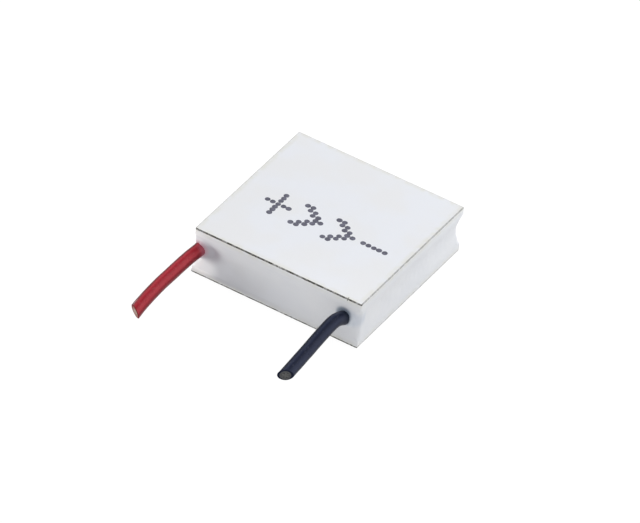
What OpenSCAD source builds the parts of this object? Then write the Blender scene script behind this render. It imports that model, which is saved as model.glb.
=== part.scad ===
// Thermoelectric cooling module: two alumina plates with a serpentine of N and P pellets
// between them, sealed round the edge with silicone, and two lead wires out of the front side.
// Millimetres. +Z runs from the hot plate up to the cold plate, the leads leave towards -Y,
// and the origin is the centre of the hot plate's outer face.

/* [Ceramic plates] */
// Side length of the two square plates
plate_side = 15; // [14.8:0.1:20]
// Thickness of each plate
plate_thick = 0.635; // [0.5:0.005:0.7]
// Height of the module over both plates
module_height = 4.3; // [4.1:0.05:5.2]
// Bevel that the laser scribe leaves round each outer face
scribe_bevel = 0.05; // [0.02:0.01:0.08]
// Size of the chip off the cold plate's corner above the red lead
corner_chip = 0.16; // [0.1:0.01:0.3]

/* [Copper tabs] */
// Width of a tab
tab_width = 1.1; // [1:0.05:1.2]
// Thickness of a tab
tab_thick = 0.3; // [0.2:0.01:0.35]

/* [Pellets] */
// Side length of a square pellet
pellet_side = 0.8; // [0.6:0.05:0.9]
// Thickness of the solder under and over each pellet
solder_thick = 0.05; // [0.03:0.01:0.08]
// How far the solder reaches past a pellet's sides
solder_margin = 0.05; // [0.02:0.01:0.05]

/* [Edge seal] */
// Width of the seal, from the plates' edge inwards
seal_width = 0.8; // [0.7:0.05:0.9]
// Clearance between the seal and the outermost tabs
seal_gap = 0.05; // [0.03:0.01:0.1]
// How far the seal's face sinks in between the plates
hollow_depth = 0.4; // [0.3:0.02:0.45]
// Height of the deepest line of the hollow above the hot plate
hollow_low = 1.3; // [1.1:0.05:1.5]
// Height of the flush rim along each plate
seal_rim = 0.06; // [0.04:0.01:0.12]
// How far the sealant's collar round the black lead stands out from the wire
collar_width = 0.35; // [0.25:0.05:0.5]
// Radius of the sealant that fills the corner round the red lead
corner_radius = 0.4; // [0.3:0.05:0.5]

/* [Leads] */
// Outside diameter of the insulation
lead_diameter = 1.1; // [1:0.02:1.16]
// Diameter of the tinned copper core
core_diameter = 0.48; // [0.4:0.02:0.5]
// Distance of the red lead's centre line from the plate's left edge
red_lead_inset = 0.6; // [0.58:0.01:0.68]
// Height of the red lead where it leaves the seal
red_lead_height = 2.5; // [2.4:0.05:2.7]
// Distance of the black lead's centre line from the plate's right edge
black_lead_inset = 1.35; // [1.2:0.05:1.5]
// Height of the black lead where it leaves the seal
black_lead_height = 2.45; // [2.2:0.05:2.6]
// Thickness of the solder round each core on its tab
joint_wall = 0.12; // [0.08:0.01:0.14]

/* [Hidden] */
$fn = 48;
per_side = 8;                                    // rows and columns of pellets
last = per_side - 1;
half = plate_side / 2;
pitch = (plate_side - 2 * (seal_width + seal_gap) - tab_width) / last;
inner_top = module_height - plate_thick;         // inner face of the cold plate
lower_tab_top = plate_thick + tab_thick;
upper_tab_bottom = inner_top - tab_thick;
pellet_bottom = lower_tab_top + solder_thick;
pellet_height = upper_tab_bottom - solder_thick - pellet_bottom;
lead_r = lead_diameter / 2;
core_r = core_diameter / 2;
core_rest = lower_tab_top + solder_thick + core_r;    // height of the core on its tab
beyond = 1;                                      // how far a cutting solid runs past its work

// A lead's route is a list of points from its soldered end to its cut end. The first number
// of each is its distance to the right of the exit, the second its distance in front of the
// plates. The third is, inside, the share of the climb from the tab up to the exit, and,
// outside, the height over the exit. The insulation begins at the point that jacket_from counts.
red_inside = [[0.75, -2.3, 0], [0.68, -2.05, 0], [0.6, -1.85, 0.1], [0.46, -1.6, 0.48], [0.22, -1.3, 0.78],
    [0, -1, 1], [0, -0.6, 1], [0, -0.2, 1]];
red_outside = [[0, 0.1, 0], [-0.06, 0.4, -0.06], [-0.18, 1, -0.17], [-0.24, 2, -0.22], [-0.27, 3.5, -0.26],
    [-0.33, 5, -0.35], [-0.35, 6.5, -0.5], [-0.35, 7.7, -0.68], [-0.32, 8.5, -0.82]];
black_inside = [[0, -2.4, 0], [0, -2.15, 0], [0, -1.9, 0.08], [0, -1.6, 0.5], [0, -1.3, 0.93],
    [0, -1, 1], [0, -0.6, 1], [0, -0.2, 1]];
black_outside = [[0, 0.1, 0], [-0.02, 0.35, 0.12], [-0.06, 0.75, 0.28], [-0.1, 1.3, 0.4], [-0.12, 2, 0.4],
    [-0.1, 3.5, 0.27], [-0.06, 5, 0.12], [-0.03, 6.5, -0.02], [0, 8.4, -0.2]];
jacket_from = 5;
core_clear = 3;                                  // the last point at which the bare core lies clear of the seal
joint_form = [0.6, 1, 1, 0.8, 0.4];              // how the solder swells and thins along the core
wire_sides = 12;
span_shares = [0, 0.5];                          // where the rings stand between two points
rings_a_span = len(span_shares);
collar_seat = 0.1;                               // how deep a collar begins below the hollow's bottom
collar_lip = 0.05;                               // how thick a collar still is at its outer end
fill_wall = 0.08;                                // wall of the corner's filling, right of the red lead
fill_lip = 0.25;                                 // and below it
fill_length = 1.5;                               // how far the filling reaches along the module's left side
lead_fit = 0.02;                                 // clearance of the seal round the insulation
core_fit = 0.13;                                 // and round the bare core that crosses it
bore_over = 0.35;                                // how far the bore goes on behind the insulation
red_cut = [33, -5];                              // how far each cut end is turned left and tipped up
black_cut = [-32, 0];

ceramic_white = [0.93, 0.94, 0.96];
silicone_white = [0.86, 0.86, 0.87];
copper = [0.80, 0.50, 0.32];
solder_grey = [0.72, 0.73, 0.75];
n_grey = [0.33, 0.34, 0.37];
p_grey = [0.42, 0.40, 0.41];
red = [0.62, 0.10, 0.13];
black = [0.10, 0.11, 0.17];
tinned_copper = [0.78, 0.62, 0.45];

// Centre of column or row i, counted from the left and from the front
function at(i) = (i - last / 2) * pitch;

// The two front corners hold the leads in place of a pellet
function has_pellet(c, r) = r > 0 || (c > 0 && c < last);

// The current meets the pellets in turn, so N and P alternate like a chessboard's squares
function is_n(c, r) = (c + r) % 2 == 1;

// Depth of the seal's hollow at height z: a quarter ellipse up from each plate's rim
function hollow(z) =
    let (deepest = plate_thick + hollow_low)
    let (end = z < deepest ? plate_thick + seal_rim : inner_top - seal_rim)
    hollow_depth * sqrt(max(0, 1 - pow((z - deepest) / (end - deepest), 2)));

// ---- ceramic plates ----

// Section of a plate that lies on z = 0 with its scribed outer face down
module plate_section() {
    b = scribe_bevel;
    polygon([[-half + b, 0], [half - b, 0], [half, b], [half, plate_thick], [-half, plate_thick], [-half, b]]);
}

module plate() {
    intersection() {
        rotate([90, 0, 0]) linear_extrude(plate_side, center = true) plate_section();
        rotate([90, 0, 90]) linear_extrude(plate_side, center = true) plate_section();
    }
}

module hot_plate() {
    color(ceramic_white) plate();
}

module cold_plate() {
    color(ceramic_white)
    difference() {
        translate([0, 0, module_height]) mirror([0, 0, 1]) plate();
        translate([-half, -half, module_height])
            rotate(45) cube([corner_chip, 3 * corner_chip, 3 * plate_thick], center = true);
    }
}

// ---- copper tabs ----

// A tab that joins the places of two neighbouring pellets, at height z
module tab(c0, r0, c1, r1, z) {
    size = [at(c1) - at(c0) + tab_width, at(r1) - at(r0) + tab_width, tab_thick];
    color(copper)
    translate([at(c0) - tab_width / 2, at(r0) - tab_width / 2, z]) cube(size);
}

module lower_tabs(c) {
    for (r = [0:2:last - 1]) tab(c, r, c, r + 1, plate_thick);
}

module upper_tabs(c) {
    for (r = [1:2:last - 2]) tab(c, r, c, r + 1, upper_tab_bottom);
}

module front_bridges() {
    for (c = [1:2:last - 2]) tab(c, 0, c + 1, 0, upper_tab_bottom);
}

module rear_bridges() {
    for (c = [0:2:last - 1]) tab(c, last, c + 1, last, upper_tab_bottom);
}

// ---- pellets and their solder ----

// A square block for each pellet of column c that is asked for
module column_blocks(c, side, bottom, height, wanted) {
    for (r = [0:last])
        if (has_pellet(c, r) && wanted[is_n(c, r) ? 0 : 1])
            translate([at(c) - side / 2, at(r) - side / 2, bottom]) cube([side, side, height]);
}

module n_pellets(c) {
    color(n_grey) column_blocks(c, pellet_side, pellet_bottom, pellet_height, [true, false]);
}

module p_pellets(c) {
    color(p_grey) column_blocks(c, pellet_side, pellet_bottom, pellet_height, [false, true]);
}

module solder(c, bottom) {
    color(solder_grey)
    column_blocks(c, pellet_side + 2 * solder_margin, bottom, solder_thick, [true, true]);
}

module lower_solder(c) {
    solder(c, lower_tab_top);
}

module upper_solder(c) {
    solder(c, upper_tab_bottom - solder_thick);
}

// ---- leads ----

function unit(v) = v / norm(v);

// The route's points as places in the module
function placed(exit, inside, outside) = concat(
    [for (p = inside) [exit[0] + p[0], -p[1] - half, core_rest + p[2] * (exit[1] - core_rest)]],
    [for (p = outside) [exit[0] + p[0], -p[1] - half, exit[1] + p[2]]]
);

// A smooth curve through the points a, b, c and d, at the share t of the way from b to c
function between(a, b, c, d, t) =
    0.5 * (2 * b + (c - a) * t + (2 * a - 5 * b + 4 * c - d) * t * t + (3 * b - a - 3 * c + d) * t * t * t);

// A smooth line through all the points, with a ring at each of the span's shares
function smooth(p) = let (n = len(p) - 1) concat(
    [for (i = [0:n - 1]) for (t = span_shares)
        between(p[max(i - 1, 0)], p[i], p[i + 1], p[min(i + 2, n)], t)],
    [p[n]]
);

red_exit = [-half + red_lead_inset, red_lead_height];
black_exit = [half - black_lead_inset, black_lead_height];
red_line = smooth(placed(red_exit, red_inside, red_outside));
black_line = smooth(placed(black_exit, black_inside, black_outside));

// The way that the line runs at its point i
function way(line, i) = unit(line[min(i + 1, len(line) - 1)] - line[max(i - 1, 0)]);

// The way that a cut end faces: the lead's own way, turned to the side and tipped
function facing(line, cut) =
    let (along = way(line, len(line) - 1), side = unit(cross(along, [0, 0, 1])))
    unit(along + tan(cut[0]) * side + tan(cut[1]) * cross(side, along));

// A ring of corners square to the line at its point i, or slid along it onto the slanting cut.
// No corner goes below the height low.
function ring(line, i, r, cut, low) =
    let (along = way(line, i), up = unit(cross([1, 0, 0], along)), side = cross(along, up))
    let (face = i < len(line) - 1 ? along : facing(line, cut))
    [for (k = [0:wire_sides - 1])
        let (out = r * (cos(360 * k / wire_sides) * side + sin(360 * k / wire_sides) * up))
        let (p = line[i] + out - along * (out * face) / (along * face))
        [p[0], p[1], max(p[2], low)]];

// Triangles between ring a and ring b, both given by the number of their first corner
function band(a, b) = [for (k = [0:wire_sides - 1])
    let (next = (k + 1) % wire_sides) each [[a + k, a + next, b + next], [a + k, b + next, b + k]]];

function turned(faces) = [for (f = faces) [f[2], f[1], f[0]]];

// A solid round wire of radius r along the line, from its point first to its point end
module wire(line, r, first, end, cut = [0, 0]) {
    n = wire_sides;
    rows = end - first;
    polyhedron(
        [for (i = [first:end]) each ring(line, i, r, cut, 0)],
        concat(
            [[for (k = [n - 1:-1:0]) k]],
            [for (i = [0:rows - 1]) each band(i * n, (i + 1) * n)],
            [[for (k = [0:n - 1]) rows * n + k]]
        )
    );
}

// A sleeve round that wire, with its own radius at each point that it covers
module sleeve(line, r, radii, first, cut = [0, 0], low = 0) {
    n = wire_sides;
    rows = len(radii) - 1;
    inner = n * (rows + 1);
    polyhedron(
        concat(
            [for (i = [0:rows]) each ring(line, first + i, radii[i], cut, low)],
            [for (i = [0:rows]) each ring(line, first + i, r, cut, low)]
        ),
        concat(
            [for (i = [0:rows - 1]) each band(i * n, (i + 1) * n)],
            [for (i = [0:rows - 1]) each turned(band(inner + i * n, inner + (i + 1) * n))],
            turned(band(0, inner)),
            band(rows * n, inner + rows * n)
        )
    );
}

module core(line, cut) {
    wire(line, core_r, 0, len(line) - 1, cut);
}

module jacket(line, cut) {
    first = jacket_from * rings_a_span;
    sleeve(line, core_r, [for (i = [first:len(line) - 1]) lead_r], first, cut);
}

// A mound of solder round the flat end of the core, standing on its terminal tab
module joint(line) {
    sleeve(line, core_r, [for (share = joint_form) core_r + share * joint_wall], 0, low = lower_tab_top);
}

module red_lead_core() {
    color(tinned_copper) core(red_line, red_cut);
}

module black_lead_core() {
    color(tinned_copper) core(black_line, black_cut);
}

module red_lead_jacket() {
    color(red) jacket(red_line, red_cut);
}

module black_lead_jacket() {
    color(black) jacket(black_line, black_cut);
}

module red_lead_joint() {
    color(solder_grey) joint(red_line);
}

module black_lead_joint() {
    color(solder_grey) joint(black_line);
}

// ---- edge seal ----

// A square block of the given half side that fills the height between the plates
module between_plates(reach) {
    translate([-reach, -reach, plate_thick]) cube([2 * reach, 2 * reach, inner_top - plate_thick]);
}

// What the hollow takes away along the front side
module front_hollow() {
    low = plate_thick + seal_rim;
    high = inner_top - seal_rim;
    steps = 24;
    curve = [for (i = [0:steps]) let (z = low + (high - low) * (1 - cos(180 * i / steps)) / 2) [hollow(z), z]];
    translate([-half - beyond, -half, 0]) rotate([90, 0, 90])
        linear_extrude(plate_side + 2 * beyond)
            polygon(concat([[-beyond, low]], curve, [[-beyond, high]]));
}

// Sealant drawn up round the black lead where it comes out of the front side: it thins out in a
// hollow quarter ellipse, from the bottom of the seal's hollow to the plates' edge
module collar() {
    depth = hollow_depth + collar_seat;
    steps = 6;
    curve = [for (i = [0:steps]) let (a = 90 * i / steps)
        [lead_r + collar_lip + collar_width * (1 - sin(a)), depth * (1 - cos(a))]];
    rotate([90, 0, 0]) rotate_extrude() polygon(concat([[0, 0]], curve, [[0, depth]]));
}

// Places the collar at a lead's exit
module collar_at(exit) {
    translate([exit[0], -half + hollow_depth + collar_seat, exit[1]]) collar();
}

// The sealant that fills the corner round the red lead, rounded at the module's own corner
module corner_fill() {
    width = red_lead_inset + lead_r + fill_wall;
    bottom = red_lead_height - lead_r - fill_lip;
    translate([-half, -half, bottom]) linear_extrude(inner_top - bottom) {
        translate([corner_radius, corner_radius]) circle(corner_radius);
        translate([corner_radius, 0]) square([width - corner_radius, fill_length]);
        translate([0, corner_radius]) square([width, fill_length - corner_radius]);
    }
}

// A straight bore of radius r from one place to another
module bore(from, to, r) {
    v = to - from;
    translate(from) rotate([0, acos(v[2] / norm(v)), atan2(v[1], v[0])]) cylinder(h = norm(v), r = r);
}

// The bore for the insulation, from in front of the plates to behind the insulation's inner end
module lead_bore(line) {
    end = line[jacket_from * rings_a_span];
    bore([end[0], -half - beyond, end[2]], end + [0, bore_over, 0], lead_r + lead_fit);
}

// The bore for the red lead's bare core, which crosses the seal's left wall on its way down
module core_bore() {
    bore(red_line[jacket_from * rings_a_span], red_line[core_clear * rings_a_span], core_r + core_fit);
}

module edge_seal() {
    color(silicone_white)
    difference() {
        union() {
            difference() {
                between_plates(half);
                for (turn = [0:3]) rotate(90 * turn) front_hollow();
            }
            corner_fill();
            intersection() {
                between_plates(half);
                collar_at(black_exit);
            }
        }
        between_plates(half - seal_width);
        lead_bore(red_line);
        lead_bore(black_line);
        core_bore();
    }
}

hot_plate();
cold_plate();
edge_seal();
for (c = [0:last]) {
    lower_tabs(c);
    upper_tabs(c);
    n_pellets(c);
    p_pellets(c);
    lower_solder(c);
    upper_solder(c);
}
front_bridges();
rear_bridges();
red_lead_jacket();
red_lead_core();
red_lead_joint();
black_lead_jacket();
black_lead_core();
black_lead_joint();
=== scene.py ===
import math
import random

import bpy
import numpy as np
from mathutils import Matrix, Vector, noise


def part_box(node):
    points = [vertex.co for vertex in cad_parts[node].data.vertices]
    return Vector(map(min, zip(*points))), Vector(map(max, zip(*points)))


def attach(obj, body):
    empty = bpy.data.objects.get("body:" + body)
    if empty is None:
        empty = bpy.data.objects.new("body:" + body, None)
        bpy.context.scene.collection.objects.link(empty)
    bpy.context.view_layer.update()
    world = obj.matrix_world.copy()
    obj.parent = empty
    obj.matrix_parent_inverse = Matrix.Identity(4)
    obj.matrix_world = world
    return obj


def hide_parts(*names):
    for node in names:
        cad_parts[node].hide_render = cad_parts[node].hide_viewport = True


bl_info = {
    "name": "Thermoelectric cooling module",
    "version": (1, 0, 0),
    "blender": (4, 5, 0),
    "location": "View3D > Sidebar > Cooling module",
    "description": "Dresses the packed cooling module: plates, edge seal, leads, marks and stage",
    "category": "Add Mesh",
}

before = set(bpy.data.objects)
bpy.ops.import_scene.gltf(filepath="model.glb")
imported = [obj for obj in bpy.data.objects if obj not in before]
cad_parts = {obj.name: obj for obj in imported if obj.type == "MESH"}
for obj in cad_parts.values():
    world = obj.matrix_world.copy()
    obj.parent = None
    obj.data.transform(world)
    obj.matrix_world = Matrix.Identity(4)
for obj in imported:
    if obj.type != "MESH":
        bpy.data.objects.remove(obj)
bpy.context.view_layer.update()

MM = 0.001                                   # one millimetre, in metres


def millimetres(node):
    """The lowest and highest corner of a CAD node, in millimetres."""
    low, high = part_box(node)
    return np.array(low) / MM, np.array(high) / MM


COLD_LOW, COLD_HIGH = millimetres("cold_plate")
HOT_LOW, HOT_HIGH = millimetres("hot_plate")
SEAL_LOW, SEAL_HIGH = millimetres("edge_seal")
HALF = float(HOT_HIGH[0])                    # half the plates' side
HEIGHT = float(COLD_HIGH[2])
SEAL_BOTTOM = float(SEAL_LOW[2])
SEAL_TOP = float(SEAL_HIGH[2])
SEAL_WALL = 0.8                              # thickness of the seal's wall
HOLLOW_DEPTH = 0.4                           # depth of the seal's hollow at its deepest
LEAD_RADIUS = 0.55
CORE_RADIUS = 0.24
CORE_REST = 1.225                            # height of a core's centre on its tab

# Each lead's route, from its soldered end to its cut end: distance to the right of the exit,
# distance in front of the plates, and the share of the climb (inside) or the height (outside)
RED_EXIT = (-HALF + 0.6, 2.5)
RED_INSIDE = ((0.75, -2.3, 0), (0.68, -2.05, 0), (0.6, -1.85, 0.1), (0.46, -1.6, 0.48),
              (0.22, -1.3, 0.78), (0, -1, 1), (0, -0.6, 1), (0, -0.2, 1))
RED_OUTSIDE = ((0, 0.1, 0), (-0.06, 0.4, -0.06), (-0.18, 1, -0.17), (-0.24, 2, -0.22),
               (-0.27, 3.5, -0.26), (-0.33, 5, -0.35), (-0.35, 6.5, -0.5),
               (-0.35, 7.7, -0.68), (-0.32, 8.5, -0.82))
RED_CUT = (33, -5)                           # degrees that the cut end is turned left and tipped up
BLACK_EXIT = (HALF - 1.35, 2.45)
BLACK_INSIDE = ((0, -2.4, 0), (0, -2.15, 0), (0, -1.9, 0.08), (0, -1.6, 0.5),
                (0, -1.3, 0.93), (0, -1, 1), (0, -0.6, 1), (0, -0.2, 1))
BLACK_OUTSIDE = ((0, 0.1, 0), (-0.02, 0.35, 0.12), (-0.06, 0.75, 0.28), (-0.1, 1.3, 0.4),
                 (-0.12, 2, 0.4), (-0.1, 3.5, 0.27), (-0.06, 5, 0.12), (-0.03, 6.5, -0.02),
                 (0, 8.4, -0.2))
BLACK_CUT = (-32, 0)
JACKET_FROM = 5                              # the route's point at which the insulation begins


# ---------------------------------------------------------------- settings

def colour(name, description, default):
    return bpy.props.FloatVectorProperty(
        name=name, description=description, default=default, subtype="COLOR", size=3, min=0, max=1)


def length(name, description, default_mm):
    return bpy.props.FloatProperty(
        name=name, description=description, default=default_mm * MM, min=0, precision=5,
        subtype="DISTANCE", unit="LENGTH")


def share(name, description, default):
    return bpy.props.FloatProperty(
        name=name, description=description, default=default, min=0, max=1, subtype="FACTOR")


class ModulePlateSettings(bpy.types.PropertyGroup):
    """Sizes and colours of the two ceramic plates."""
    ceramic: colour("Ceramic", "Colour of the fired alumina", (0.86, 0.875, 0.915))
    scorch: colour("Scorch", "Colour of the line that the laser scribe burns",
                   (0.036, 0.033, 0.022))
    halo: colour("Scorch halo", "Colour of the stain beside the scorched line", (0.77, 0.75, 0.64))
    wiped: colour("Wiped silicone", "Colour of the silicone wiped over the plates' sides",
                  (0.82, 0.825, 0.84))
    bevel: length("Scribe bevel", "Size of the bevel along each scribed edge", 0.05)
    ragged: length("Ragged edge", "How far the scribed edge strays from a straight line", 0.014)


class ModuleSealSettings(bpy.types.PropertyGroup):
    """Shape and colour of the silicone round the edge."""
    silicone: colour("Silicone", "Colour of the edge seal", (0.82, 0.825, 0.84))
    wave: length("Waviness", "How far the seal's face strays from its even hollow", 0.025)
    # the red lead showing through beside its exit, and a painted reflection of it
    red_through_and_reflected: colour("Red tint", "Colour of the silicone beside the red lead", (0.58, 0.36, 0.42))
    # painted shade above the black lead, and the lead showing through there
    black_through_and_shaded: colour("Black tint", "Colour of the silicone beside the black lead",
                       (0.17, 0.22, 0.30))


class ModuleLeadSettings(bpy.types.PropertyGroup):
    """Sizes and colours of the two leads."""
    red: colour("Red insulation", "Colour of the red lead", (0.29, 0.009, 0.019))
    black: colour("Black insulation", "Colour of the black lead", (0.010, 0.014, 0.034))
    wobble: length("Unevenness", "How far the insulation strays from a true cylinder", 0.008)
    strand: length("Strand", "Diameter of one strand of the core", 0.156)
    red_core: colour("Red lead's strands", "Colour of the strands in the red lead",
                     (0.62, 0.47, 0.38))
    black_core: colour("Black lead's strands", "Colour of the strands in the black lead",
                       (0.10, 0.10, 0.10))


class ModuleMarkSettings(bpy.types.PropertyGroup):
    """Sizes and colour of the printed polarity and direction marks."""
    ink: colour("Ink", "Colour of the printed dots", (0.115, 0.115, 0.15))
    dot: length("Dot", "Diameter of one printed dot", 0.47)
    pitch_across: length("Dot pitch across", "Distance between dots along the row of marks", 0.48)
    pitch_up: length("Dot pitch up", "Distance between dots up a mark", 0.42)
    thick: length("Ink thickness", "How far the ink stands on the plate", 0.005)


class ModuleStageSettings(bpy.types.PropertyGroup):
    """Light and floor."""
    key: bpy.props.FloatProperty(
        name="Key light", description="Power of the light behind and above",
        default=0.94, min=0, unit="POWER")
    side: bpy.props.FloatProperty(
        name="Side light", description="Power of the light at the right",
        default=0.0026, min=0, unit="POWER")
    left: bpy.props.FloatProperty(
        name="Left light", description="Power of the light at the left",
        default=0.34, min=0, unit="POWER")
    near: bpy.props.FloatProperty(
        name="Near light", description="Power of the small light before the corner",
        default=0.0005, min=0, unit="POWER")
    corner: bpy.props.FloatProperty(
        name="Corner light", description="Power of the tiny light at the red lead's corner",
        default=0.00018, min=0, precision=5, unit="POWER")
    world: share("Surroundings", "Strength of the even light from all round", 0.46)
    floor: share("Floor", "How much light the floor gives back", 0.8)


# ---------------------------------------------------------------- shader maths

class Value:
    """A shader socket with Python's operators, so that its maths reads as an expression."""

    def __init__(self, shader, socket):
        self.shader = shader
        self.socket = socket

    def calc(self, operation, *values):
        return self.shader.add("ShaderNodeMath", {"operation": operation}, dict(enumerate(values)))

    def __add__(self, other):
        return self.calc("ADD", self, other)

    def __radd__(self, other):
        return self.calc("ADD", other, self)

    def __sub__(self, other):
        return self.calc("SUBTRACT", self, other)

    def __rsub__(self, other):
        return self.calc("SUBTRACT", other, self)

    def __mul__(self, other):
        return self.calc("MULTIPLY", self, other)

    def __rmul__(self, other):
        return self.calc("MULTIPLY", other, self)

    def __truediv__(self, other):
        return self.calc("DIVIDE", self, other)

    def __rtruediv__(self, other):
        return self.calc("DIVIDE", other, self)

    def __pow__(self, other):
        return self.calc("POWER", self, other)

    def __abs__(self):
        return self.calc("ABSOLUTE", self)

    def most(self, other):
        return self.calc("MAXIMUM", self, other)

    def step(self, start, end):
        """0 before start, 1 after end, and smooth between them; falls where start is the larger."""
        return self.shader.add(
            "ShaderNodeMapRange", {"interpolation_type": "SMOOTHSTEP", "clamp": True},
            {"Value": self, "From Min": start, "From Max": end, "To Min": 0.0, "To Max": 1.0})


class Shader:
    """The node tree of a material or the world, with one method for every kind of node."""

    def __init__(self, name, kind="materials"):
        self.owner = getattr(bpy.data, kind).new(name)
        self.owner.use_nodes = True
        self.tree = self.owner.node_tree
        self.tree.nodes.clear()

    def add(self, kind, settings=None, sockets=None, output=0):
        """Adds a node: its settings first, then the values or links of its sockets."""
        node = self.tree.nodes.new(kind)
        for name, setting in (settings or {}).items():
            if name == "stops":
                ramp = node.color_ramp
                ramp.elements.remove(ramp.elements[1])
                for number, (place, stop) in enumerate(setting):
                    element = ramp.elements.new(place) if number else ramp.elements[0]
                    element.position = place
                    element.color = (*stop, 1)
            else:
                setattr(node, name, setting)
        for name, value in (sockets or {}).items():
            socket = node.inputs[name]
            if isinstance(value, Value):
                self.tree.links.new(value.socket, socket)
            elif socket.type == "RGBA" and len(value) == 3:
                socket.default_value = (*value, 1)
            else:
                socket.default_value = value
        return Value(self, node.outputs[output]) if node.outputs else None

    def point(self):
        """The point on the surface in millimetres."""
        point = self.add("ShaderNodeTexCoord", output="Object")
        return self.vector("SCALE", point, {"Scale": 1 / MM})

    def place(self):
        """The point on the surface in millimetres, whole and as x, y and z."""
        point = self.point()
        parts = [self.add("ShaderNodeSeparateXYZ", sockets={0: point}, output=i) for i in range(3)]
        return point, *parts

    def vector(self, operation, first, others):
        output = "Value" if operation in ("DOT_PRODUCT", "LENGTH", "DISTANCE") else "Vector"
        return self.add("ShaderNodeVectorMath", {"operation": operation},
                        {0: first, **others}, output)

    def noise(self, point, scale, detail=2.0, roughness=0.5):
        return self.add("ShaderNodeTexNoise", {"noise_dimensions": "3D"},
                        {"Vector": point, "Scale": scale, "Detail": detail, "Roughness": roughness})

    def blend(self, share_of_b, a, b):
        """The colour a changed by the share of colour b; sockets 6 and 7 are the colour pair."""
        return self.add("ShaderNodeMix", {"data_type": "RGBA"},
                        {0: share_of_b, 6: a, 7: b}, output=2)

    def bump(self, height, distance_mm, strength=1.0):
        return self.add("ShaderNodeBump", {}, {
            "Strength": strength, "Distance": distance_mm * MM, "Height": height})

    def surface(self, sockets):
        """Ends the tree in a principled shader with these sockets."""
        return self.finish(self.add("ShaderNodeBsdfPrincipled", {}, sockets))

    def finish(self, shader, output="ShaderNodeOutputMaterial"):
        """Ends the tree in its output node and returns the material or world."""
        self.add(output, {}, {"Surface": shader})
        return self.owner


# ---------------------------------------------------------------- mesh helpers

def make_piece(name, points_mm, faces, material, replaces=(), sharp=30):
    """A mesh object that rides on the root body and takes the place of CAD nodes."""
    mesh = bpy.data.meshes.new(name)
    mesh.from_pydata((np.asarray(points_mm) * MM).tolist(), [], faces)
    mesh.validate()
    mesh.update()
    mesh.shade_smooth()
    mesh.set_sharp_from_angle(angle=math.radians(sharp))
    mesh.materials.append(material)
    piece = bpy.data.objects.new(name, mesh)
    bpy.context.scene.collection.objects.link(piece)
    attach(piece, "root")
    if replaces:
        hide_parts(*replaces)
    return piece


def ring_faces(count, sides, closed=False, first=0):
    """Quads that join count rings of sides points each, and back to the first if closed."""
    faces = []
    for i in range(count if closed else count - 1):
        low = first + i * sides
        high = first + ((i + 1) % count) * sides
        for k in range(sides):
            after = (k + 1) % sides
            faces.append((low + k, low + after, high + after, high + k))
    return faces


def capped(count, sides, first=0):
    """The faces of a stack of rings with both ends filled."""
    faces = ring_faces(count, sides, first=first)
    faces.append(tuple(first + k for k in reversed(range(sides))))
    faces.append(tuple(first + (count - 1) * sides + k for k in range(sides)))
    return faces


def quarter_turned(turn, x, y):
    """A point of the front side, carried to side 0 to 3."""
    c, s = round(math.cos(turn * math.pi / 2)), round(math.sin(turn * math.pi / 2))
    return c * x - s * y, s * x + c * y


def smoothstep(start, end, value):
    """0 before start, 1 after end, and smooth between them; falls where start is the larger."""
    t = np.clip((value - start) / (end - start), 0, 1)
    return t * t * (3 - 2 * t)


def rough(x, y, z, size, seed=0.0):
    """Smooth noise from about -1 to 1 whose lumps are size millimetres across."""
    return noise.noise(Vector((x / size + seed, y / size - seed, z / size + 2 * seed)))


# ---------------------------------------------------------------- plates

def square_outline(half, per_side, corner):
    """Points round a square with small round corners, from the front left corner to the right."""
    points = []
    straight = np.linspace(-half + corner, half - corner, per_side)
    arc = np.radians(np.linspace(0, 90, 5))[1:-1]
    for turn in range(4):
        side = [(x, -half) for x in straight]
        side += [(half - corner + corner * math.sin(a), -half + corner - corner * math.cos(a))
                 for a in arc]
        points += [quarter_turned(turn, x, y) for x, y in side]
    return np.array(points)


def plate_mesh(outer, inner, settings, chip, seed):
    """A plate whose outer face is at height outer: rings from the inner face to the outer one.

    chip tells how much the corner by the red lead has lost at a height.
    """
    up = 1 if outer > inner else -1
    bevel = settings.bevel / MM
    ragged = settings.ragged / MM
    outline = square_outline(HALF, 190, 0.05)
    far_in = 1.2                             # how far in the flat faces' last rings lie
    inner_edge = 0.004                       # bevel of the edge at the inner face
    # inset from the outline, depth under the outer face, and how ragged the ring is
    profile = [(far_in, None, 0), (inner_edge, None, 0),
               (0.0, abs(outer - inner) - inner_edge, 0), (0.0, 0.4, 0), (0.0, 0.16, 0.2),
               (0.0, bevel * 1.9, 0.8), (bevel * 0.25, bevel * 0.9, 1.0),
               (bevel * 0.75, bevel * 0.28, 1.0), (bevel * 1.15, 0, 1.0),
               (bevel * 1.8, 0, 0.2), (far_in, 0, 0)]
    rings = []
    for row, (inset, depth, share_ragged) in enumerate(profile):
        ring = []
        height = inner if depth is None else outer - up * depth
        for x, y in outline:
            stray = ragged * share_ragged * (
                rough(x, y, row * 0.4, 0.12, seed) + 0.6 * rough(x, y, row, 0.45, seed + 5))
            pull = (HALF - inset - max(0.0, stray)) / HALF
            px, py = x * pull, y * pull
            cut = chip(height)
            over = -(px + py) - (2 * HALF - cut)
            if over > 0 and cut > 0:
                px, py = px + over / 2, py + over / 2
            lift = 0.35 * stray if 0 < share_ragged and depth else 0.0
            ring.append((px, py, height - up * max(0.0, lift)))
        rings.append(ring)
    points = np.array(rings)
    sides = len(outline)
    faces = capped(len(profile), sides)
    if up < 0:
        faces = [tuple(reversed(f)) for f in faces]
    return points.reshape(-1, 3), faces


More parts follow.
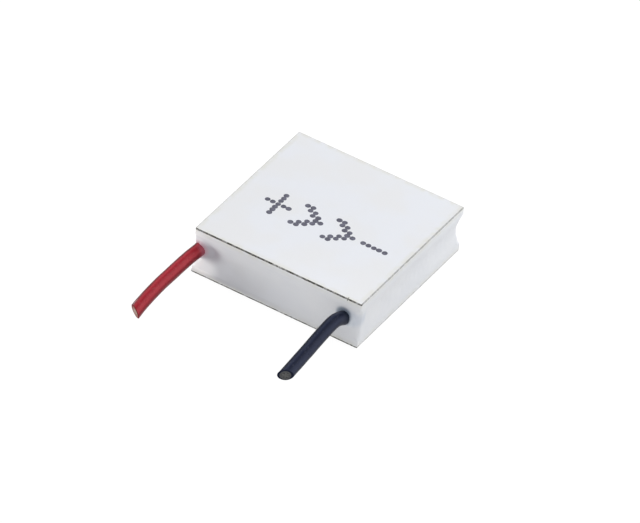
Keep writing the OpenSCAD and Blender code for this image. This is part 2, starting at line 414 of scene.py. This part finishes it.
def painted_front_shade_and_light(shader, x, y, z, base):
    """Silicone's colour with painted shade, greyer toward the lower left of the front, and painted
    light, near white on the lip under the red lead and by the left corner above it.
    """
    # painted shade toward the lower left of the front
    painted_shade_low_left = x.step(3.5, -5.0) * z.step(3.4, 0.4) * y.step(-HALF + 0.8, -HALF + 0.4)
    dx, dz = x + HALF - 0.75, z - 1.0
    # painted light on the lip under the red lead
    lip = ((dx * dx * 0.4 + dz * dz) ** 0.5).step(1.25, 0.45)
    # painted light by the left corner, above the red lead
    above = x.step(-HALF + 1.4, -HALF + 0.2) * z.step(2.6, 3.3)
    tone = shader.blend(painted_shade_low_left, base, (base[0] * 0.70, base[1] * 0.70, base[2] * 0.72))
    return shader.blend(lip.most(above * 0.8), tone, (0.98, 0.975, 0.97))


def ceramic_material(name, outer, settings, wide, tick=None):
    """White alumina with the scorched line of the scribe, wide millimetres, along its outer edges.

    tick is where along the front a dark spot stands on the line.
    """
    shader = Shader(name)
    point, x, y, z = shader.place()
    depth = abs(z - outer)
    edge = HALF - abs(x).most(abs(y))
    cloud = shader.noise(point, 0.28, 2.0)
    grain = shader.noise(point, 14.0, 3.0, 0.6)
    base = tuple(settings.ceramic)
    warm = (base[0], base[1] * 0.985, base[2] * 0.955)
    tone = shader.blend(cloud.step(0.35, 0.65), base, warm)
    tone = shader.blend(grain.step(0.3, 0.72) * 0.10, tone, (0.93, 0.94, 0.96))
    # silicone wiped over the sides, carrying the same painted shade and painted light as the seal's
    # front
    wiped = edge.step(0.03, 0.01) * depth.step(0.1, 0.35)
    tone = shader.blend(wiped, tone, painted_front_shade_and_light(shader, x, y, z, tuple(settings.wiped)))
    # the stain beside the line, on the face and on the side
    away = depth + edge
    stain = away.step(0.6, 0.05) * shader.noise(point, 1.6, 2.0).step(0.25, 0.7)
    tone = shader.blend(stain * 0.55, tone, tuple(settings.halo))
    # the line itself, ragged and of uneven strength; it is strongest on the front side
    jag = (shader.noise(point, 7.0, 2.0, 0.7) - 0.5) * 0.09
    broken = shader.noise(point, 2.6, 3.0, 0.75).step(0.22, 0.62)
    on_front = y.step(-HALF + 0.3, -HALF + 0.05)
    strength = 0.55 + 0.45 * on_front
    line = ((depth + jag).step(wide + 0.03, wide - 0.025) * edge.step(0.10, 0.05)
            * (0.3 + 0.7 * broken) * strength)
    if tick:
        aside = abs(x - tick) / 0.05
        spot = (aside * aside + depth * depth / 0.05).step(1.3, 0.7) * on_front
        line = line.most(spot * 0.75)
    tone = shader.blend(line, tone, tuple(settings.scorch))
    height = grain + 0.6 * shader.noise(point, 45.0, 1.0)
    return shader.surface({
        "Base Color": tone,
        "Roughness": 0.5 + 0.18 * grain,
        "Normal": shader.bump(height, 0.006, 0.6),
        "Specular IOR Level": 0.35,
    })


class MODULE_OT_plates(bpy.types.Operator):
    """Build the hot and the cold ceramic plate"""
    bl_idname = "module.plates"
    bl_label = "Ceramic plates"

    def execute(self, context):
        settings = context.scene.module_plates
        ink = context.scene.module_marks.thick / MM
        points, faces = plate_mesh(HEIGHT - ink, float(COLD_LOW[2]), settings,
                                   lambda z: 0.11, seed=3.1)
        make_piece("cold_plate_ceramic", points, faces,
                   ceramic_material("alumina_cold", HEIGHT - ink, settings, 0.105, tick=6.24),
                   ["cold_plate"])
        points, faces = plate_mesh(0.0, float(HOT_HIGH[2]), settings,
                                   lambda z: 0.32 * max(0.0, z - 0.1), seed=8.7)
        make_piece("hot_plate_ceramic", points, faces,
                   ceramic_material("alumina_hot", 0.0, settings, 0.15),
                   ["hot_plate"])
        return {"FINISHED"}


# ---------------------------------------------------------------- edge seal

def near_lead(reach):
    """1 at a lead's surface and 0 half a millimetre off it, at a distance from its middle."""
    return smoothstep(LEAD_RADIUS + 0.5, LEAD_RADIUS - 0.1, reach)


def hollow(share_up):
    """Depth of the seal's hollow, 0 to 1, at a share of the way up between the plates."""
    return smoothstep(0.0, 0.5, share_up) * smoothstep(1.0, 0.6, share_up)


def seal_depth(side, along, z):
    """How far the seal's face lies behind the plates' edge, on side 0 to 3 at a place along it."""
    share_up = (z - SEAL_BOTTOM) / (SEAL_TOP - SEAL_BOTTOM)
    depth = HOLLOW_DEPTH * hollow(share_up)
    # the hollow is shallow along the front and the right side, and beside the red lead's corner
    if side == 0:
        depth *= 0.3 - 0.15 * smoothstep(3.5, 7.0, along)
        depth += 0.15 * bell(along + 5.95, 0.6) * bell(z - 2.55, 0.6)
        # sealant drawn out round the black lead
        reach = math.hypot(along - BLACK_EXIT[0], z - BLACK_EXIT[1] - 0.05)
        depth *= smoothstep(LEAD_RADIUS - 0.05, LEAD_RADIUS + 0.42, reach)
        under = (along - BLACK_EXIT[0]) - (z - BLACK_EXIT[1])
        depth -= 0.25 * near_lead(reach) * smoothstep(-0.3, 0.5, under)
    if side == 1:
        depth *= 0.15 + 0.35 * smoothstep(-7.0, 7.0, along) ** 0.8
    if side == 3:
        depth *= 1 - 0.7 * smoothstep(3.0, 6.5, along)
    # the corner round the red lead is filled above the lip under the lead
    from_corner = along + HALF if side == 0 else HALF - along if side == 3 else 99
    if from_corner < 3:
        filled = smoothstep(1.6, 2.3, z) * smoothstep(1.6, 1.0, from_corner)
        kept = 0.03 + (0.12 * smoothstep(0.2, 0.9, from_corner) if side == 0 else 0.0)
        depth += filled * (kept * smoothstep(1.0, 0.8, share_up) - depth)
    # sealant that climbs the red lead's right side
    if side == 0 and from_corner < 3:
        reach = math.hypot(along - RED_EXIT[0], z - RED_EXIT[1])
        depth -= 0.32 * near_lead(reach) * smoothstep(-0.35, 0.35, along - RED_EXIT[0])
    return depth


def bell(distance, width):
    """1 at no distance, and falling smoothly to 0 over about twice the width."""
    return math.exp(-(distance / width) ** 2)


def corner_round(z, red_corner):
    """The radius of the seal's corners at a height, largest below the red lead."""
    if red_corner:
        return float(np.interp(z, (SEAL_BOTTOM, 1.75, 2.2, 2.9, 3.2, SEAL_TOP),
                               (0.3, 0.95, 0.9, 0.35, 0.28, 0.25)))
    return 0.03 + (0.4 * smoothstep(0.0, 0.35, z - SEAL_BOTTOM)
                   * smoothstep(0.0, 0.35, SEAL_TOP - z))


def seal_mesh(settings):
    """The seal as rings: up its hollow outer face and down its inner wall."""
    wave = settings.wave / MM
    per_side = 170
    places = np.linspace(-1, 1, per_side, endpoint=False)
    ease = np.linspace(0, 1, 37)
    heights = SEAL_BOTTOM + (SEAL_TOP - SEAL_BOTTOM) * (1 - np.cos(np.pi * ease)) / 2
    rings = []
    for z in heights:
        ring = []
        inside = min(1.0, min(z - SEAL_BOTTOM, SEAL_TOP - z) / 0.3)
        for side in range(4):
            for u in places:
                depth = seal_depth(side, u * HALF, z)
                spot = (*quarter_turned(side, u * HALF, -HALF), z)
                lump = wave * inside * (rough(*spot, 1.7, 4.0) + 0.4 * rough(*spot, 0.5, 9.0))
                depth += lump * min(1.0, abs(depth) / 0.1)
                x, y = u * (HALF - depth), -(HALF - depth)
                red_corner = side == 0 and x < 0 or side == 3 and x > 0
                round_by = corner_round(z, red_corner)
                middle = HALF - depth - round_by
                if abs(x) > middle:
                    out = Vector((abs(x) - middle, round_by)).normalized() * round_by
                    x, y = math.copysign(middle + out.x, x), -(middle + out.y)
                ring.append((*quarter_turned(side, x, y), z))
        rings.append(ring)
    for z in (SEAL_TOP, SEAL_BOTTOM):
        ring = []
        for side in range(4):
            for u in places:
                ring.append((*quarter_turned(side, u * (HALF - SEAL_WALL), -(HALF - SEAL_WALL)), z))
        rings.append(ring)
    points = np.array(rings)
    return points.reshape(-1, 3), ring_faces(len(rings), 4 * per_side, closed=True)


def silicone_material(settings):
    """White silicone, with the leads showing through it round their exits, and painted shade and
    painted reflection of the leads there.
    """
    shader = Shader("silicone")
    point, x, y, z = shader.place()
    base = tuple(settings.silicone)
    cloud = shader.noise(point, 0.45, 2.0)
    grain = shader.noise(point, 6.0, 3.0, 0.6)
    # painted shade and painted light on the front, as on the plates' sides
    tone = painted_front_shade_and_light(shader, x, y, z, base)
    dull = (base[0] * 0.93, base[1] * 0.94, base[2] * 0.97)
    tone = shader.blend(cloud.step(0.3, 0.7) * 0.4, tone, dull)
    on_front = y.step(-HALF + 1.2, -HALF + 0.7)
    # each patch round a lead's exit, where the lead shows through the silicone with painted shade
    # and painted reflection: the lead's exit, how far it lies aside and above, reach, squash,
    # colour, strength
    for centre, aside, lift, reach, squash, tint, amount in (
            # painted shade in the hollow right of the red lead, reddened by a painted reflection of
            # the lead
            (RED_EXIT, 0.75, 0.0, 1.35, 1.35, (0.38, 0.34, 0.385), 0.66),
            # the red lead showing through the silicone round its exit, with a painted reflection of
            # it
            (RED_EXIT, 0.0, 0.05, 0.45, 1.0, tuple(settings.red_through_and_reflected), 0.85),
            # painted shade right of the black lead, bluish where the lead shows through
            (BLACK_EXIT, 0.6, 0.1, 0.9, 1.2, (0.58, 0.63, 0.71), 0.6),
            # painted shade in the crease above the black lead, where the lead also shows through
            (BLACK_EXIT, -0.08, 0.2, 0.42, 1.0, tuple(settings.black_through_and_shaded), 0.85)):
        dx = x - (centre[0] + aside)
        dz = (z - (centre[1] + lift)) * squash
        away = (dx * dx + dz * dz) ** 0.5
        # where each patch of painted shade, painted reflection and show-through lies
        stain = away.step(LEAD_RADIUS + reach, LEAD_RADIUS - 0.02) * on_front
        tone = shader.blend(stain * stain * amount, tone, tint)
    return shader.surface({
        "Base Color": tone,
        "Roughness": 0.42 + 0.2 * grain,
        "Normal": shader.bump(grain, 0.010, 0.5),
        "Specular IOR Level": 0.4,
    })


class MODULE_OT_seal(bpy.types.Operator):
    """Build the silicone seal round the edge"""
    bl_idname = "module.seal"
    bl_label = "Edge seal"

    def execute(self, context):
        settings = context.scene.module_seal
        points, faces = seal_mesh(settings)
        make_piece("edge_seal_silicone", points, faces, silicone_material(settings),
                   ["edge_seal"], sharp=60)
        return {"FINISHED"}


# ---------------------------------------------------------------- leads

def lead_line(exit_at, inside, outside, steps):
    """The lead's centre line: a smooth curve through its route, with steps points to each span."""
    points = [(exit_at[0] + p[0], -HALF - p[1], CORE_REST + p[2] * (exit_at[1] - CORE_REST))
              for p in inside]
    points += [(exit_at[0] + p[0], -HALF - p[1], exit_at[1] + p[2]) for p in outside]
    points = np.array(points, float)
    line = []
    last = len(points) - 1
    for i in range(last):
        a, b, c, d = (points[max(i - 1, 0)], points[i], points[i + 1], points[min(i + 2, last)])
        for t in np.arange(steps) / steps:
            line.append(0.5 * (2 * b + (c - a) * t + (2 * a - 5 * b + 4 * c - d) * t ** 2
                               + (3 * b - a - 3 * c + d) * t ** 3))
    return np.array(line + [points[-1]])


def unit(v):
    return v / np.linalg.norm(v)


def travelled(line):
    """How far along the line each of its points is."""
    return np.r_[0, np.cumsum(np.linalg.norm(np.diff(line, axis=0), axis=1))]


def directions(line):
    """The way that the line runs at each point, and two directions square to it."""
    along = np.gradient(line, axis=0)
    along /= np.linalg.norm(along, axis=1)[:, None]
    up = np.array([unit(np.cross((1, 0, 0), a)) for a in along])
    return along, np.cross(along, up), up


def cut_face(along, cut):
    """The direction that a cut end faces, for a lead that ends running along."""
    side = unit(np.cross(along, (0, 0, 1)))
    return unit(along + math.tan(math.radians(cut[0])) * side
                + math.tan(math.radians(cut[1])) * np.cross(side, along))


def tube_rings(line, radius_at, sides, cut, offset=None):
    """Rings round the line; the last few are slid until the end lies in the cut plane."""
    along, side, up = directions(line)
    face = cut_face(along[-1], cut)
    travel = travelled(line)
    left = travel[-1] - travel
    angles = np.arange(sides) * 2 * math.pi / sides
    rings = []
    for i, middle in enumerate(line):
        off = np.zeros(3) if offset is None else offset(i, side[i], up[i])
        ring = []
        for a in angles:
            out = off + radius_at(i, a) * (math.cos(a) * side[i] + math.sin(a) * up[i])
            slide = -(out @ face) / (along[-1] @ face) * max(0.0, 1 - left[i] / 1.1)
            ring.append(middle + out + slide * along[i])
        rings.append(ring)
    return np.array(rings), face


def jacket_mesh(line, first, settings, cut, seed, swell):
    """The insulation: an uneven outer wall, a rounded rim at the cut end and a bore.

    It begins at the line's point first and is wider by swell just outside the seal.
    """
    wobble = settings.wobble / MM
    sides = 44
    route = line[first:]
    travel = travelled(route)

    def outer(i, a):
        x, y, z = math.cos(a), math.sin(a), travel[i]
        uneven = rough(x, y, z, 0.9, seed) + 0.5 * rough(x, y, z, 0.35, seed + 3)
        wide = swell * math.exp(-((travel[i] - 1.2) / 0.5) ** 2)
        return LEAD_RADIUS - wobble + wobble * 0.9 * uneven + wide

    walls, face = tube_rings(route, outer, sides, cut)
    holes, _ = tube_rings(route, lambda i, a: CORE_RADIUS, sides, cut)
    middle = route[-1]
    rim = []
    for pull, back in ((0.985, 0.035), (0.95, 0.008), (0.88, 0.0), (0.6, 0.006)):
        rim.append(middle + (walls[-1] - middle) * pull - face * back)
    walls[-1] = walls[-1] - unit(route[-1] - route[-2]) * 0.09
    rings = np.concatenate([walls, rim, holes[::-1]])
    return rings.reshape(-1, 3), ring_faces(len(rings), sides, closed=True), face, middle


def strands_mesh(line, settings, cut, seed):
    """Seven twisted strands along the whole line, cut off flush with the insulation."""
    radius = settings.strand / MM / 2
    sides = 12
    ring_radius = CORE_RADIUS - radius
    lay = 5.5                                # the length in which a strand goes once round
    travel = travelled(line)
    points, faces = [], []
    spread = random.Random(seed)
    for strand in range(7):
        start = strand * math.pi / 3 + spread.uniform(-0.05, 0.05)

        def offset(i, side, up):
            if strand == 6:
                return np.zeros(3)
            a = start + travel[i] * 2 * math.pi / lay
            return ring_radius * (math.cos(a) * side + math.sin(a) * up)

        rings, _ = tube_rings(line, lambda i, a: radius, sides, cut, offset)
        faces += capped(len(rings), sides, first=sum(len(p) for p in points))
        points.append(rings.reshape(-1, 3))
    return np.concatenate(points), faces


# Painted shade at each lead's edges and painted highlight streaks along it: place across the lead
# from 0 to 1, share of the base colour, and paleness added to it
RED_PAINTED_SHADE_AND_HIGHLIGHTS = ((0.0, 0.3, 0.001), (0.0625, 0.5, 0.002), (0.125, 1.15, 0.024), (0.19, 1.42, 0.031),
               (0.25, 1.36, 0.015), (0.34, 1.2, 0.001), (0.44, 1.2, 0.0), (0.5, 1.3, 0.007),
               (0.58, 1.4, 0.022), (0.69, 1.32, 0.038), (0.76, 1.05, 0.022), (0.82, 0.82, 0.011),
               (0.9, 0.7, 0.009), (1.0, 0.45, 0.006))
BLACK_PAINTED_SHADE_AND_HIGHLIGHTS = ((0.0, 0.5, 0.001), (0.0625, 0.65, 0.001), (0.125, 1.1, 0.0135), (0.19, 1.3, 0.018),
                 (0.25, 1.25, 0.012), (0.34, 1.0, 0.001), (0.42, 0.8, 0.0), (0.5, 1.15, 0.002),
                 (0.58, 1.3, 0.014), (0.66, 1.45, 0.023), (0.75, 1.5, 0.025), (0.82, 1.3, 0.019),
                 (0.9, 1.1, 0.0135), (1.0, 0.8, 0.008))
ACROSS = (0.866, 0, -0.501)                  # the direction across the leads along which the painted shade and highlights change


# What sets the two leads apart, apart from the colours in the settings
LEADS = {
    "red": {"exit_at": RED_EXIT, "inside": RED_INSIDE, "outside": RED_OUTSIDE, "cut": RED_CUT,
            "painted_shade_and_highlights": RED_PAINTED_SHADE_AND_HIGHLIGHTS, "cut_tone": (0.46, 0.24, 0.19),
            "smear_tone": (0.50, 0.14, 0.19), "swell": 0.0, "shine": 0.12, "seed": 1.0},
    "black": {"exit_at": BLACK_EXIT, "inside": BLACK_INSIDE, "outside": BLACK_OUTSIDE,
              "cut": BLACK_CUT, "painted_shade_and_highlights": BLACK_PAINTED_SHADE_AND_HIGHLIGHTS, "cut_tone": (0.075, 0.076, 0.078),
              "smear_tone": (0.02, 0.028, 0.045), "swell": 0.02, "shine": 0.05, "seed": 7.0},
}


def insulation_material(name, base, lead, face, middle):
    """Wire insulation with painted shade at its edges and painted highlight streaks, a matt cut
    end, and silicone smeared at its exit.

    The cut end lies round middle and faces the way of face.
    """
    shader = Shader(name)
    point, x, y, z = shader.place()
    streak = shader.noise(shader.vector("MULTIPLY", point, {1: (2.2, 0.45, 2.2)}), 1.4, 3.0, 0.55)
    speck = shader.noise(point, 5.0, 2.0, 0.6)
    # painted shade and painted highlights, looked up from the way the surface faces
    normal = shader.add("ShaderNodeTexCoord", output="Normal")
    across = shader.vector("DOT_PRODUCT", normal, {1: ACROSS})
    place = 0.5 + 0.5 * across + 0.10 * (streak - 0.5)
    stops = [(at, tuple(c * much + pale for c in base)) for at, much, pale in lead["painted_shade_and_highlights"]]
    tone = shader.add("ShaderNodeValToRGB", {"stops": stops}, {"Fac": place})
    tone = shader.blend(speck.step(0.56, 0.72) * 0.4, tone, tuple(c * 0.6 for c in base))
    # pale flecks of painted highlight on the side of the lead where the highlight streaks lie
    painted_highlight_fleck = shader.noise(shader.vector("MULTIPLY", point, {1: (1, 0.6, 1)}), 6.5, 2.0, 0.6)
    pale = tuple(c * 1.2 + 0.05 for c in base)
    tone = shader.blend(painted_highlight_fleck.step(0.54, 0.70) * place.step(0.75, 0.2) * 0.55, tone, pale)
    smear = ((y + 0.2 * speck).step(-HALF - 0.62, -HALF - 0.15)
             * (x - lead["exit_at"][0]).step(-0.3, 0.35))
    tone = shader.blend(smear * 0.6, tone, lead["smear_tone"])
    from_middle = shader.vector("SUBTRACT", point, {1: tuple(middle)})
    at_end = shader.vector("DOT_PRODUCT", from_middle, {1: tuple(face)}).step(-0.05, -0.01)
    core = shader.vector("LENGTH", from_middle, {}).step(0.48, 0.40)
    end_tone = shader.blend(core, tuple(c * 0.7 for c in base), lead["cut_tone"])
    tone = shader.blend(at_end, tone, end_tone)
    return shader.surface({
        "Base Color": tone,
        "Roughness": 0.26 + 0.14 * speck + at_end * 0.3,
        "Normal": shader.bump(speck + 0.5 * streak, 0.014, 0.5),
        "Specular IOR Level": lead["shine"],
    })


def strand_material(name, base):
    """Drawn wire, streaked along its length."""
    shader = Shader(name)
    point = shader.point()
    drawn = shader.noise(shader.vector("MULTIPLY", point, {1: (1, 0.15, 1)}), 16.0, 2.0)
    tone = shader.blend(drawn.step(0.35, 0.7), base, tuple(c * 0.7 for c in base))
    return shader.surface({
        "Base Color": tone,
        "Roughness": 0.36 + 0.2 * drawn,
        "Metallic": 0.55,
        "Normal": shader.bump(drawn, 0.004, 0.5),
    })


class MODULE_OT_leads(bpy.types.Operator):
    """Build the red and the black lead: insulation and twisted strands"""
    bl_idname = "module.leads"
    bl_label = "Leads"

    def execute(self, context):
        settings = context.scene.module_leads
        steps = 8
        for name, lead in LEADS.items():
            line = lead_line(lead["exit_at"], lead["inside"], lead["outside"], steps)
            points, faces, face, middle = jacket_mesh(
                line, JACKET_FROM * steps, settings, lead["cut"], lead["seed"], lead["swell"])
            material = insulation_material(f"{name}_insulation", tuple(getattr(settings, name)),
                                           lead, face, middle)
            make_piece(f"{name}_insulation", points, faces, material,
                       [f"{name}_lead_jacket"], sharp=50)
            points, faces = strands_mesh(line, settings, lead["cut"], lead["seed"])
            core_tone = tuple(getattr(settings, f"{name}_core"))
            make_piece(f"{name}_strands", points, faces,
                       strand_material(f"{name}_strands", core_tone),
                       [f"{name}_lead_core"], sharp=50)
        return {"FINISHED"}


# ---------------------------------------------------------------- marks

MARKS = {
    "plus": ("..#..", "..#..", "..#..", "#####", "..#..", "..#..", "..#.."),
    "arrow": ("##...", ".##..", "..##.", "...##", "..##.", ".##..", "##..."),
    "minus": (".....", ".....", ".....", "#####", ".....", ".....", "....."),
}
MARK_ROW = ("plus", "arrow", "arrow", "minus")
MARK_CENTRE = (0.3, -1.1)


def dots_mesh(settings):
    """Every printed dot as a thin uneven blob of ink."""
    radius = settings.dot / MM / 2
    across, up = settings.pitch_across / MM, settings.pitch_up / MM
    thick = settings.thick / MM
    spread = random.Random(31)
    sides = 20
    points, faces = [], []
    for column, mark in enumerate(MARK_ROW):
        left = MARK_CENTRE[0] + (column - 1.5) * 6 * across - 2 * across
        for row, cells in enumerate(MARKS[mark]):
            for cell, filled in enumerate(cells):
                if filled != "#":
                    continue
                cx = left + cell * across + spread.uniform(-0.02, 0.02)
                cy = MARK_CENTRE[1] + (3 - row) * up + spread.uniform(-0.02, 0.02)
                r = radius * spread.uniform(0.93, 1.04)
                first = len(points)
                for share_out, z in ((1.0, HEIGHT - thick - 0.004), (1.0, HEIGHT - 0.45 * thick),
                                     (0.9, HEIGHT), (0.4, HEIGHT - 0.2 * thick)):
                    for k in range(sides):
                        a = 2 * math.pi * k / sides
                        bump = rough(3 * math.cos(a), 3 * math.sin(a), first, 1.0)
                        reach = r * share_out * (1 + 0.05 * bump)
                        points.append((cx + reach * math.cos(a), cy + reach * math.sin(a), z))
                faces += capped(4, sides, first)
    return np.array(points), faces


def ink_material(settings):
    """Matt ink, slightly mottled."""
    shader = Shader("marking_ink")
    point = shader.point()
    mottle = shader.noise(point, 3.2, 3.0, 0.6)
    base = tuple(settings.ink)
    tone = shader.blend(mottle.step(0.35, 0.7), base, tuple(c * 1.45 + 0.01 for c in base))
    return shader.surface({
        "Base Color": tone,
        "Roughness": 0.5 + 0.2 * mottle,
        "Normal": shader.bump(mottle, 0.003, 0.5),
        "Specular IOR Level": 0.3,
    })


class MODULE_OT_marks(bpy.types.Operator):
    """Print the polarity and direction marks on the cold plate"""
    bl_idname = "module.marks"
    bl_label = "Printed marks"

    def execute(self, context):
        settings = context.scene.module_marks
        points, faces = dots_mesh(settings)
        make_piece("polarity_marks", points, faces, ink_material(settings), sharp=40)
        return {"FINISHED"}


# ---------------------------------------------------------------- inside

def metal_material(name, base, metallic, roughness, grain_size, stretch=(1, 1, 1), bump_mm=0.006):
    """A metal or semiconductor surface with grain of the given size in millimetres."""
    shader = Shader(name)
    point = shader.point()
    grain = shader.noise(shader.vector("MULTIPLY", point, {1: stretch}), 1 / grain_size, 3.0, 0.6)
    tone = shader.blend(grain.step(0.3, 0.7), base, tuple(c * 0.72 for c in base))
    return shader.surface({
        "Base Color": tone,
        "Metallic": metallic,
        "Roughness": roughness + 0.18 * grain,
        "Normal": shader.bump(grain, bump_mm, 0.7),
    })


class MODULE_OT_inside(bpy.types.Operator):
    """Give the tabs, pellets and solder inside the seal their finishes"""
    bl_idname = "module.inside"
    bl_label = "Tabs, pellets and solder"

    def execute(self, context):
        finishes = {
            "tabs": metal_material("copper_tab", (0.72, 0.36, 0.22), 1.0, 0.28, 0.25),
            "bridges": metal_material("copper_bridge", (0.72, 0.36, 0.22), 1.0, 0.28, 0.25),
            "n_pellets": metal_material("telluride_n", (0.24, 0.25, 0.28), 0.85, 0.38, 0.05,
                                        stretch=(1, 1, 6)),
            "p_pellets": metal_material("telluride_p", (0.30, 0.28, 0.29), 0.85, 0.42, 0.06,
                                        stretch=(6, 1, 1)),
            "solder": metal_material("solder_film", (0.62, 0.63, 0.65), 1.0, 0.26, 0.12),
            "joint": metal_material("solder_joint", (0.62, 0.63, 0.65), 1.0, 0.22, 0.2,
                                    bump_mm=0.015),
        }
        for name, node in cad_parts.items():
            for word, finish in finishes.items():
                if word in name:
                    node.data.materials.clear()
                    node.data.materials.append(finish)
                    break
        return {"FINISHED"}


# ---------------------------------------------------------------- stage

CAMERA_PLACE = (0.26382, -0.49870, 0.45659)
CAMERA_RIGHT = (0.844741, 0.527945, 0.087675)
CAMERA_UP = (-0.392397, 0.499606, 0.772281)
CAMERA_BACK = (0.363919, -0.686781, 0.629201)


MODULE_CENTRE = (0, 0, 0.002)
PLAIN_WHITE = (1, 1, 1)
# Each light: its place, the point that it faces, the side of its square and its colour
LIGHTS = {
    "key": ((0.16, 0.22, 0.34), MODULE_CENTRE, 0.30, PLAIN_WHITE),
    "side": ((0.028, 0.031, 0.010), (0.0075, 0.003, 0.0025), 0.02, (0.92, 0.96, 1.0)),
    "left": ((-0.30, 0.02, 0.13), MODULE_CENTRE, 0.16, PLAIN_WHITE),
    "corner": ((-0.0125, -0.0125, 0.0022), (-0.0070, -0.0070, 0.0012), 0.003, PLAIN_WHITE),
    "near": ((0.007, -0.020, 0.008), (0.005, -0.0075, 0.002), 0.015, PLAIN_WHITE),
}


def area_light(name, power, place, aim, size, tone):
    """A square light that the camera doesn't see."""
    data = bpy.data.lights.new(name, "AREA")
    data.shape = "RECTANGLE"
    data.size = data.size_y = size
    data.energy = power
    data.color = tone
    light = bpy.data.objects.new(name, data)
    bpy.context.scene.collection.objects.link(light)
    light.location = place
    light.visible_camera = False
    light.rotation_euler = (Vector(aim) - Vector(place)).to_track_quat("-Z", "Y").to_euler()


def floor_material(settings):
    """White to the camera and in reflections, with a faint shadow; pale to other light."""
    shader = Shader("stage_floor")
    plain = shader.add("ShaderNodeBsdfDiffuse", {}, {"Color": (settings.floor,) * 3})
    veil = shader.add("ShaderNodeBsdfDiffuse", {}, {"Color": (0.13, 0.13, 0.13)})
    glow = shader.add("ShaderNodeEmission", {}, {"Color": (1, 1, 1), "Strength": 0.93})
    seen = shader.add("ShaderNodeAddShader", {}, {0: veil, 1: glow})
    rays = [shader.add("ShaderNodeLightPath", output=name)
            for name in ("Is Camera Ray", "Is Glossy Ray", "Is Transmission Ray")]
    shown = rays[0].most(rays[1]).most(rays[2])
    return shader.finish(shader.add("ShaderNodeMixShader", {}, {0: shown, 1: plain, 2: seen}))


def make_world(strength):
    """Even light from all round, and plain white to the camera."""
    shader = Shader("stage_world", "worlds")
    even = shader.add("ShaderNodeBackground", {},
                      {"Color": (0.96, 0.975, 1.0), "Strength": strength})
    white = shader.add("ShaderNodeBackground", {}, {"Color": (1, 1, 1), "Strength": 1.0})
    seen = shader.add("ShaderNodeLightPath", output="Is Camera Ray")
    mix = shader.add("ShaderNodeMixShader", {}, {0: seen, 1: even, 2: white})
    bpy.context.scene.world = shader.finish(mix, "ShaderNodeOutputWorld")


class MODULE_OT_stage(bpy.types.Operator):
    """Set up the camera, the floor, the surroundings and the lights"""
    bl_idname = "module.stage"
    bl_label = "Stage"

    def execute(self, context):
        settings = context.scene.module_stage
        data = bpy.data.cameras.new("camera")
        data.lens = 532.2
        data.sensor_width = 36
        data.clip_start = 0.01
        data.clip_end = 10
        camera = bpy.data.objects.new("camera", data)
        context.scene.collection.objects.link(camera)
        axes = Matrix((CAMERA_RIGHT, CAMERA_UP, CAMERA_BACK)).transposed()
        camera.matrix_world = Matrix.Translation(CAMERA_PLACE) @ axes.to_4x4()
        context.scene.camera = camera
        context.scene.view_settings.view_transform = "Standard"

        reach = 0.6                          # the floor's reach to each side
        squares = 8                          # into which the floor is divided each way
        below = -0.00002                     # the floor's height, just under the module
        mesh = bpy.data.meshes.new("stage_floor")
        row = squares + 1
        steps = np.linspace(-reach, reach, row)
        points = [(x, y, below) for y in steps for x in steps]
        faces = [(j * row + i, j * row + i + 1, (j + 1) * row + i + 1, (j + 1) * row + i)
                 for j in range(squares) for i in range(squares)]
        mesh.from_pydata(points, [], faces)
        mesh.materials.append(floor_material(settings))
        floor = bpy.data.objects.new("stage_floor", mesh)
        context.scene.collection.objects.link(floor)

        make_world(settings.world)
        for name, (place, aim, size, tone) in LIGHTS.items():
            area_light(f"{name}_light", getattr(settings, name), place, aim, size, tone)
        return {"FINISHED"}


# ---------------------------------------------------------------- add-on

SETTINGS = {
    "module_plates": ModulePlateSettings,
    "module_seal": ModuleSealSettings,
    "module_leads": ModuleLeadSettings,
    "module_marks": ModuleMarkSettings,
    "module_stage": ModuleStageSettings,
}
OPERATORS = (MODULE_OT_stage, MODULE_OT_plates, MODULE_OT_seal, MODULE_OT_leads, MODULE_OT_marks,
             MODULE_OT_inside)


class MODULE_PT_sidebar(bpy.types.Panel):
    """Lists the settings and the operators of the cooling module"""
    bl_idname = "MODULE_PT_sidebar"
    bl_label = "Cooling module"
    bl_space_type = "VIEW_3D"
    bl_region_type = "UI"
    bl_category = "Cooling module"

    def draw(self, context):
        for operator in OPERATORS:
            self.layout.operator(operator.bl_idname)
        for name, group in SETTINGS.items():
            box = self.layout.box()
            box.label(text=group.__doc__)
            for field in group.__annotations__:
                box.prop(getattr(context.scene, name), field)


def register():
    for group in SETTINGS.values():
        bpy.utils.register_class(group)
    for cls in (*OPERATORS, MODULE_PT_sidebar):
        bpy.utils.register_class(cls)
    for name, group in SETTINGS.items():
        setattr(bpy.types.Scene, name, bpy.props.PointerProperty(type=group))


def unregister():
    for name in SETTINGS:
        delattr(bpy.types.Scene, name)
    for cls in (MODULE_PT_sidebar, *reversed(OPERATORS)):
        bpy.utils.unregister_class(cls)
    for group in SETTINGS.values():
        bpy.utils.unregister_class(group)


def main():
    register()
    for operator in OPERATORS:
        area, name = operator.bl_idname.split(".")
        getattr(getattr(bpy.ops, area), name)()


if __name__ == "__main__":
    main()
